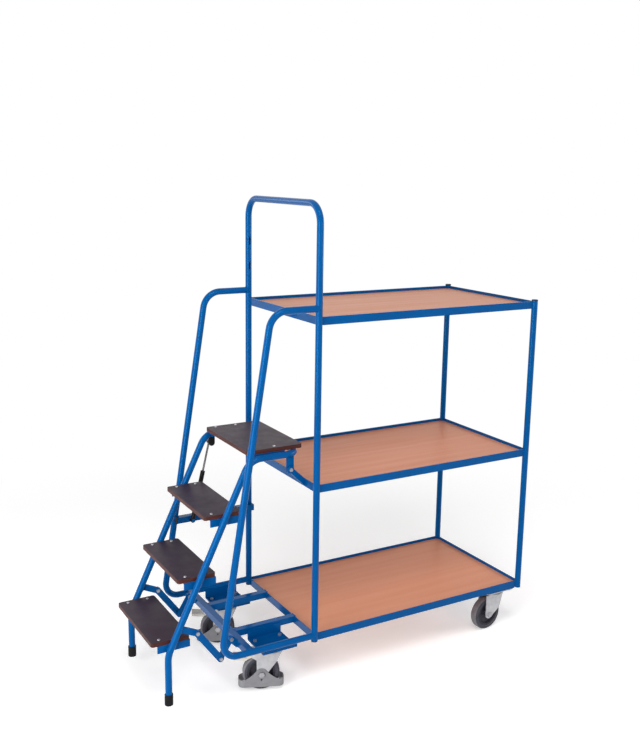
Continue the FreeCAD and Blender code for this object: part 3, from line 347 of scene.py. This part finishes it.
MATERIALS = {
    "blue_paint": mottled("blue powder coat", BLUE, BLUE_DEEP, patches=7.0, rough=(0.10, 0.17), grain=850.0,
                          bump=0.05, Specular_IOR_Level=0.25, Specular_Tint=(*BLUE_GLOSS, 1.0)),
    "black_plastic": mottled("black plastic", BLACK, BLACK_WORN, patches=60.0, rough=(0.45, 0.6),
                             grain=1400.0, bump=0.1, Specular_IOR_Level=DULL),
    "shelf_board": beech("beech decor board"),
    "step_board": film_plywood("film-faced plywood"),
    "fastener_steel": mottled("zinc-plated fasteners", STEEL, STEEL_SHADE, patches=220.0, rough=(0.25, 0.4),
                              grain=1800.0, bump=0.06, Metallic=0.8),
    "zinc": mottled("zinc-plated sheet", ZINC_LIGHT, ZINC_DARK, patches=55.0, rough=(0.38, 0.52),
                    grain=1100.0, bump=0.05, Metallic=0.35),
    "guard": mottled("grey foot guard", GUARD_GREY, GUARD_SHADE, patches=40.0, rough=(0.45, 0.58),
                     grain=1200.0, bump=0.08),
    "pedal": mottled("ivory pedal", IVORY, IVORY_SHADE, patches=45.0, rough=(0.32, 0.44), grain=1200.0,
                     bump=0.05),
    "tyre": rubber_tyre("grey rubber tyre"),
    "hub": mottled("dark wheel centre", HUB_GREY, HUB_SHADE, patches=70.0, rough=(0.4, 0.52), grain=1300.0,
                   bump=0.08, Specular_IOR_Level=DULL),
    "foot_rubber": mottled("black rubber foot", BLACK, BLACK_WORN, patches=80.0, rough=(0.5, 0.65),
                           grain=1500.0, bump=0.12, Specular_IOR_Level=DULL),
    # This slot also dresses the strut's upper bracket. Its black is partly the bracket's own dark finish
    # and partly painted shade from under the top step.
    "strut_black": mottled("black gas strut and painted-shade bracket", BLACK, BLACK_WORN, patches=30.0, rough=(0.22, 0.34),
                           grain=1200.0, bump=0.03, Specular_IOR_Level=DULL),
    "strut_rod": mottled("dark strut rod", ROD_STEEL, ROD_SHADE, patches=120.0, rough=(0.2, 0.32),
                         grain=1600.0, bump=0.03, Metallic=0.9),
}


def dress_frame():
    """Gives every CAD node the material of its slot."""
    for entry in frame["record"]["subparts"]:
        mesh = frame["nodes"][entry["node"]].data
        mesh.materials.clear()
        mesh.materials.append(MATERIALS[entry["material_slot"]])


def solids(node):
    """Boxes of a node's separate solids, as (low, high) corners, from -Y to +Y."""
    work = bmesh.new()
    work.from_mesh(frame["nodes"][node].data)
    bmesh.ops.remove_doubles(work, verts=work.verts, dist=MERGE_DISTANCE)
    waiting = set(work.verts)
    boxes = []
    while waiting:
        front = [waiting.pop()]
        places = []
        while front:
            vertex = front.pop()
            places.append(vertex.co.copy())
            for edge in vertex.link_edges:
                other = edge.other_vert(vertex)
                if other in waiting:
                    waiting.remove(other)
                    front.append(other)
        low = Vector([min(place[axis] for place in places) for axis in range(3)])
        high = Vector([max(place[axis] for place in places) for axis in range(3)])
        boxes.append((low, high))
    work.free()
    return sorted(boxes, key=lambda box: [round(value, SORT_DIGITS) for value in box[0].yxz])


def add_piece(name, vertices, faces, slot, body, smooth):
    """New mesh with its slot's material, which rides on a body."""
    mesh = bpy.data.meshes.new(name)
    mesh.from_pydata(vertices, [], faces)
    mesh.materials.append(MATERIALS[slot])
    mesh.polygons.foreach_set("use_smooth", [smooth] * len(mesh.polygons))
    piece = bpy.data.objects.new(name, mesh)
    bpy.context.scene.collection.objects.link(piece)
    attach(piece, body)
    return piece


def add_band(faces, first, second, sides):
    """Adds the faces between two rings of vertices, each given by the number of its first vertex."""
    for step in range(sides):
        after = (step + 1) % sides
        faces.append((first + step, first + after, second + after, second + step))


def add_lids(faces, first, last, sides):
    """Closes the two ends of a row of rings."""
    faces.append(tuple(reversed(range(first, first + sides))))
    faces.append(tuple(range(last, last + sides)))


# Weld seams, each a list of points, whether it is closed, and a direction that it never follows

def spaced(start, end):
    """Points from one place to just before another, about a bead's step apart."""
    count = round((end - start).length / BEAD_STEP)
    return [start.lerp(end, index / count) for index in range(count)]


def line_seam(start, end, aside):
    """A straight seam."""
    start = Vector(start)
    end = Vector(end)
    return spaced(start, end) + [end], False, aside


def square_seam(x, y, z, half):
    """Round the end of a square tube that runs along X."""
    corners = [Vector((x, y + across * half, z + up * half)) for across, up in SQUARE]
    points = []
    for start, end in zip(corners, corners[1:] + corners[:1]):
        points += spaced(start, end)
    return points, True, X_AXIS


def saddle_seam(post_x, y, z, radius):
    """Round a tube along -X that ends on an upright post of the same radius."""
    count = round(math.tau * radius / BEAD_STEP)
    points = []
    for index in range(count):
        turn = math.tau * index / count
        back = radius * abs(math.cos(turn))
        points.append(Vector((post_x - back, y + radius * math.sin(turn), z + radius * math.cos(turn))))
    return points, True, X_AXIS


def bead_radius(index, count, closed):
    """Radius of a rippled bead at one of its points, which is smaller near an open end."""
    travel = index * BEAD_STEP
    radius = BEAD_R * (1 + BEAD_RIPPLE * math.cos(math.tau * travel / BEAD_PITCH))
    if closed:
        return radius
    from_end = min(travel, (count - 1) * BEAD_STEP - travel)
    return radius * min(1.0, BEAD_END + (1 - BEAD_END) * from_end / BEAD_FADE)


def add_bead(vertices, faces, seam):
    """Adds a weld bead along a seam."""
    points, closed, aside = seam
    count = len(points)
    start = len(vertices)
    for index, point in enumerate(points):
        ahead = points[(index + 1) % count] if closed else points[min(index + 1, count - 1)]
        behind = points[index - 1] if closed else points[max(index - 1, 0)]
        along = (ahead - behind).normalized()
        side = along.cross(aside).normalized()
        up = along.cross(side)
        radius = bead_radius(index, count, closed)
        for step in range(BEAD_SIDES):
            turn = math.tau * step / BEAD_SIDES
            vertices.append(point + radius * (math.cos(turn) * side + math.sin(turn) * up))
    for index in range(count if closed else count - 1):
        first = start + index * BEAD_SIDES
        second = start + (index + 1) % count * BEAD_SIDES
        add_band(faces, first, second, BEAD_SIDES)
    if not closed:
        add_lids(faces, start, start + (count - 1) * BEAD_SIDES, BEAD_SIDES)


def add_welds(name, seams, body):
    """One painted piece with a bead along each seam."""
    vertices = []
    faces = []
    for seam in seams:
        add_bead(vertices, faces, seam)
    add_piece(name, vertices, faces, "blue_paint", body, smooth=True)


def shelf_seams(post_x, leg_x, post_y, tube_r):
    """Upright seams where each shelf frame's corners meet the posts and the handle's legs."""
    seams = []
    for node in ("lower_shelf_frame", "middle_shelf_frame", "upper_shelf_frame"):
        low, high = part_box(node)
        z0 = low.z + SEAM_MARGIN
        z1 = high.z - SEAM_MARGIN
        for x, inward in ((leg_x, tube_r), (post_x, -tube_r)):
            for y in (-post_y, post_y):
                beside = y - math.copysign(tube_r, y)
                seams.append(line_seam((x + inward, y, z0), (x + inward, y, z1), X_AXIS))
                seams.append(line_seam((x, beside, z0), (x, beside, z1), X_AXIS))
    return seams


def base_seams(post_y, tube_r):
    """Seams of the inner tubes and of the caster plates."""
    seams = []
    for low, high in solids("inner_tubes"):
        middle = (low + high) / 2
        half = (high.z - low.z) / 2
        seams.append(square_seam(low.x, middle.y, middle.z, half))
        seams.append(square_seam(high.x, middle.y, middle.z, half))
    base_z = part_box("handrail_near")[0].z + tube_r
    for low, high in solids("caster_plates"):
        rail_side = math.copysign(post_y - tube_r, low.y)
        seams.append(line_seam((low.x, rail_side, base_z), (high.x, rail_side, base_z), Z_AXIS))
    return seams


def tab_seams(node, carrier):
    """Seams on both sides of upright tabs that stand on the -X face of what carries them."""
    face_low, face_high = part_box(carrier)
    z0 = face_low.z + SEAM_MARGIN
    z1 = face_high.z - SEAM_MARGIN
    seams = []
    for low, high in solids(node):
        for y in (low.y, high.y):
            seams.append(line_seam((face_low.x, y, z0), (face_low.x, y, z1), X_AXIS))
    return seams


def chassis_seams():
    """All seams of the chassis."""
    handle_low, handle_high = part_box("push_handle")
    tube_r = (handle_high.x - handle_low.x) / 2
    leg_x = (handle_low.x + handle_high.x) / 2
    post_y = handle_high.y - tube_r
    post_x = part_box("rear_posts")[1].x - tube_r
    rail_low, rail_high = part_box("handrail_near")
    seams = shelf_seams(post_x, leg_x, post_y, tube_r)
    seams += base_seams(post_y, tube_r)
    for y in (-post_y, post_y):
        for z in (rail_low.z + tube_r, rail_high.z - tube_r):
            seams.append(saddle_seam(leg_x, y, z, tube_r))
    seams += tab_seams("ladder_hinge_tabs", "middle_shelf_frame")
    seams += tab_seams("rocker_lugs", "front_cross_tube")
    return seams


def wedge_seams(centre, along, half, y):
    """Two seams along a tube, in the wedges between it and a plate that touches its side."""
    across = Vector((-along.z, 0, along.x)) * WEDGE_OFFSET
    middle = Vector((centre.x, y, centre.z))
    seams = []
    for offset in (across, -across):
        seams.append(line_seam(middle + offset - along * half, middle + offset + along * half, Y_AXIS))
    return seams


def ladder_seams():
    """Seams of the step brackets and link arms on the stringers. The top step lies above their slope."""
    first_low, first_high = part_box("step_board_1")
    second_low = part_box("step_board_2")[0]
    along = Vector((second_low.x - first_low.x, 0, second_low.z - first_low.z)).normalized()
    root = Vector((first_low.x + STRINGER_BACK, 0, first_high.z))

    def on_stringer(z):
        return root + along * ((z - root.z) / along.z)

    seams = []
    brackets = solids("step_brackets")
    top_z = max(high.z for low, high in brackets)
    for low, high in brackets:
        if high.z < top_z - SEAM_MARGIN:
            wall = high.y if high.y > 0 else low.y
            half = (high.z - low.z) / 2 / along.z - SEAM_MARGIN
            seams += wedge_seams(on_stringer((low.z + high.z) / 2), along, half, wall)
    behind = Vector((along.z, 0, -along.x))
    for low, high in solids("link_arms"):
        upper = on_stringer(high.z) + behind * ARM_SEAM_BACK
        lower = upper - along * STRAP_WIDTH
        for y in (low.y, high.y):
            seams.append(line_seam((upper.x, y, upper.z), (lower.x, y, lower.z), Y_AXIS))
    return seams


# Link bolts

def hex_head(centre, outward):
    """Vertices and faces of a bolt head with a chamfered rim, standing out along Y."""
    corner = LINK_FLATS / math.sqrt(3)
    height = LINK_HEAD + HEAD_COVER
    vertices = []
    for share, lift in LINK_HEAD_PROFILE:
        for step in range(HEX_SIDES):
            turn = math.tau * step / HEX_SIDES
            vertices.append((centre.x + corner * share * math.cos(turn), centre.y + outward * height * lift,
                             centre.z + corner * share * math.sin(turn)))
    last = len(vertices) - HEX_SIDES
    faces = []
    for here in range(0, last, HEX_SIDES):
        add_band(faces, here, here + HEX_SIDES, HEX_SIDES)
    add_lids(faces, 0, last, HEX_SIDES)
    return vertices, faces if outward < 0 else [tuple(reversed(face)) for face in faces]


def add_link_bolts():
    """Plated heads over the heads at the links' lower ends."""
    for side, outward in (("near", -1.0), ("far", 1.0)):
        low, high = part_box("link_bar_" + side)
        top = high.y if outward > 0 else -low.y
        seat = top - LINK_HEAD
        centre = Vector((high.x - STRAP_WIDTH / 2, outward * seat, low.z + STRAP_WIDTH / 2))
        vertices, faces = hex_head(centre, outward)
        name = "link_lower_bolt_" + side
        add_piece(name, vertices, faces, "fastener_steel", "link_" + side, smooth=False)


# Step screws

def socket_radius(turn):
    """Radius of a hexagonal socket's wall at an angle."""
    sixth = math.tau / HEX_SIDES
    return SOCKET_FLATS / 2 / math.cos(turn % sixth - sixth / 2)


def add_ring(vertices, centre, z, reach):
    """Adds a ring of vertices, whose distance from the centre is given for each angle."""
    for step in range(SCREW_SIDES):
        turn = math.tau * step / SCREW_SIDES
        distance = reach(turn)
        vertices.append((centre.x + distance * math.cos(turn), centre.y + distance * math.sin(turn), z))


def add_screw(vertices, faces, low, high, seat):
    """Adds a screw with a domed head and a hexagonal socket, over the box of a plain one."""
    centre = (low + high) / 2
    radius = (high.x - low.x) / 2
    rise = high.z - seat
    start = len(vertices)
    add_ring(vertices, centre, low.z, lambda turn: SCREW_SHANK)
    add_ring(vertices, centre, seat, lambda turn: SCREW_SHANK)
    for share, lift in SCREW_HEAD_PROFILE:
        add_ring(vertices, centre, seat + rise * lift, lambda turn: radius * share)
    add_ring(vertices, centre, high.z, socket_radius)
    add_ring(vertices, centre, high.z - SOCKET_DEPTH, socket_radius)
    last = len(vertices) - SCREW_SIDES
    for here in range(start, last, SCREW_SIDES):
        add_band(faces, here, here + SCREW_SIDES, SCREW_SIDES)
    add_lids(faces, start, last, SCREW_SIDES)


def add_step_screws():
    """Screws with socket heads in place of the plain ones."""
    seats = [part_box("step_board_%d" % number)[1].z for number in range(1, STEPS + 1)]
    vertices = []
    faces = []
    for low, high in solids("step_screws"):
        add_screw(vertices, faces, low, high, max(seat for seat in seats if seat < high.z))
    piece = add_piece("step_socket_screws", vertices, faces, "fastener_steel", "ladder", smooth=False)
    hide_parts("step_screws")


# Studio

def floor_material():
    """White floor that takes the trolley's shadow and turns to plain white further out."""
    material = bpy.data.materials.new("studio floor")
    material.use_nodes = True
    nodes = Nodes(material.node_tree)
    nodes.tree.nodes.clear()
    path = nodes.node("ShaderNodeLightPath")
    camera_ray = path.outputs["Is Camera Ray"]
    matt = nodes.node("ShaderNodeBsdfDiffuse", Color=FLOOR_COLOUR)
    lift = nodes.node("ShaderNodeEmission", Strength=nodes.maths("MULTIPLY", camera_ray, FLOOR_LIFT))
    near = nodes.node("ShaderNodeAddShader")
    nodes.feed(near.inputs[0], matt.outputs["BSDF"])
    nodes.feed(near.inputs[1], lift.outputs["Emission"])
    white = nodes.node("ShaderNodeEmission")
    reach = nodes.node("ShaderNodeVectorMath")
    reach.operation = "LENGTH"
    nodes.feed(reach.inputs[0], nodes.node("ShaderNodeTexCoord").outputs["Object"])
    far = nodes.node("ShaderNodeMapRange", Value=reach.outputs["Value"],
                     From_Min=FLOOR_NEAR, From_Max=FLOOR_FAR)
    far.interpolation_type = "SMOOTHSTEP"
    seen = nodes.maths("MULTIPLY", camera_ray, far.outputs["Result"])
    mix = nodes.node("ShaderNodeMixShader", Fac=nodes.maths("ADD", seen, nodes.mirrored(path), clamp=True))
    nodes.feed(mix.inputs[1], near.outputs["Shader"])
    nodes.feed(mix.inputs[2], white.outputs["Emission"])
    nodes.node("ShaderNodeOutputMaterial", Surface=mix.outputs["Shader"])
    return material


def add_floor():
    """Wide flat floor under the wheels."""
    corners = [(x * FLOOR_HALF, y * FLOOR_HALF, 0.0) for x, y in SQUARE]
    mesh = bpy.data.meshes.new("floor")
    mesh.from_pydata(corners, [], [(0, 1, 2, 3)])
    mesh.materials.append(floor_material())
    floor = bpy.data.objects.new("floor", mesh)
    bpy.context.scene.collection.objects.link(floor)


def add_world():
    """White surroundings, which light the trolley less than they show."""
    world = bpy.data.worlds.new("studio")
    bpy.context.scene.world = world
    world.use_nodes = True
    nodes = Nodes(world.node_tree)
    path = nodes.node("ShaderNodeLightPath")
    shown = nodes.maths("ADD", path.outputs["Is Camera Ray"], nodes.mirrored(path), clamp=True)
    strength = nodes.spread(shown, WORLD_LIGHT, 1.0, 0.0, 1.0)
    nodes.fill(nodes.tree.nodes["Background"], Color=WHITE, Strength=strength)


def add_softbox(name, at, width, height, power):
    """Area light that faces the trolley's middle."""
    light = bpy.data.lights.new(name, "AREA")
    light.shape = "RECTANGLE"
    light.size = width
    light.size_y = height
    light.energy = power
    lamp = bpy.data.objects.new(name, light)
    lamp.location = at
    lamp.rotation_euler = (LAMP_AIM - Vector(at)).to_track_quat("-Z", "Y").to_euler()
    lamp.visible_camera = False
    bpy.context.scene.collection.objects.link(lamp)


def add_camera():
    """Camera at the fitted place, turned by azimuth, elevation and roll."""
    data = bpy.data.cameras.new("camera")
    data.sensor_width = CAMERA_SENSOR
    data.lens = CAMERA_LENS
    camera = bpy.data.objects.new("camera", data)
    azimuth = math.radians(CAMERA_AZIMUTH)
    elevation = math.radians(CAMERA_ELEVATION)
    roll = math.radians(CAMERA_ROLL)
    back = Vector((math.sin(azimuth) * math.cos(elevation), -math.cos(azimuth) * math.cos(elevation),
                   math.sin(elevation)))
    level_right = Vector((math.cos(azimuth), math.sin(azimuth), 0.0))
    level_up = back.cross(level_right)
    right = level_right * math.cos(roll) + level_up * math.sin(roll)
    up = level_up * math.cos(roll) - level_right * math.sin(roll)
    turn = Matrix((right, up, back)).transposed().to_4x4()
    camera.matrix_world = Matrix.Translation(CAMERA_AT) @ turn
    bpy.context.scene.collection.objects.link(camera)
    bpy.context.scene.camera = camera


dress_frame()
add_welds("chassis_welds", chassis_seams(), "chassis")
add_welds("ladder_welds", ladder_seams(), "ladder")
add_link_bolts()
add_step_screws()
add_floor()
add_world()
for lamp_name, lamp_facts in LAMPS.items():
    add_softbox(lamp_name, **lamp_facts)
add_camera()
bpy.context.scene.view_settings.view_transform = "Standard"
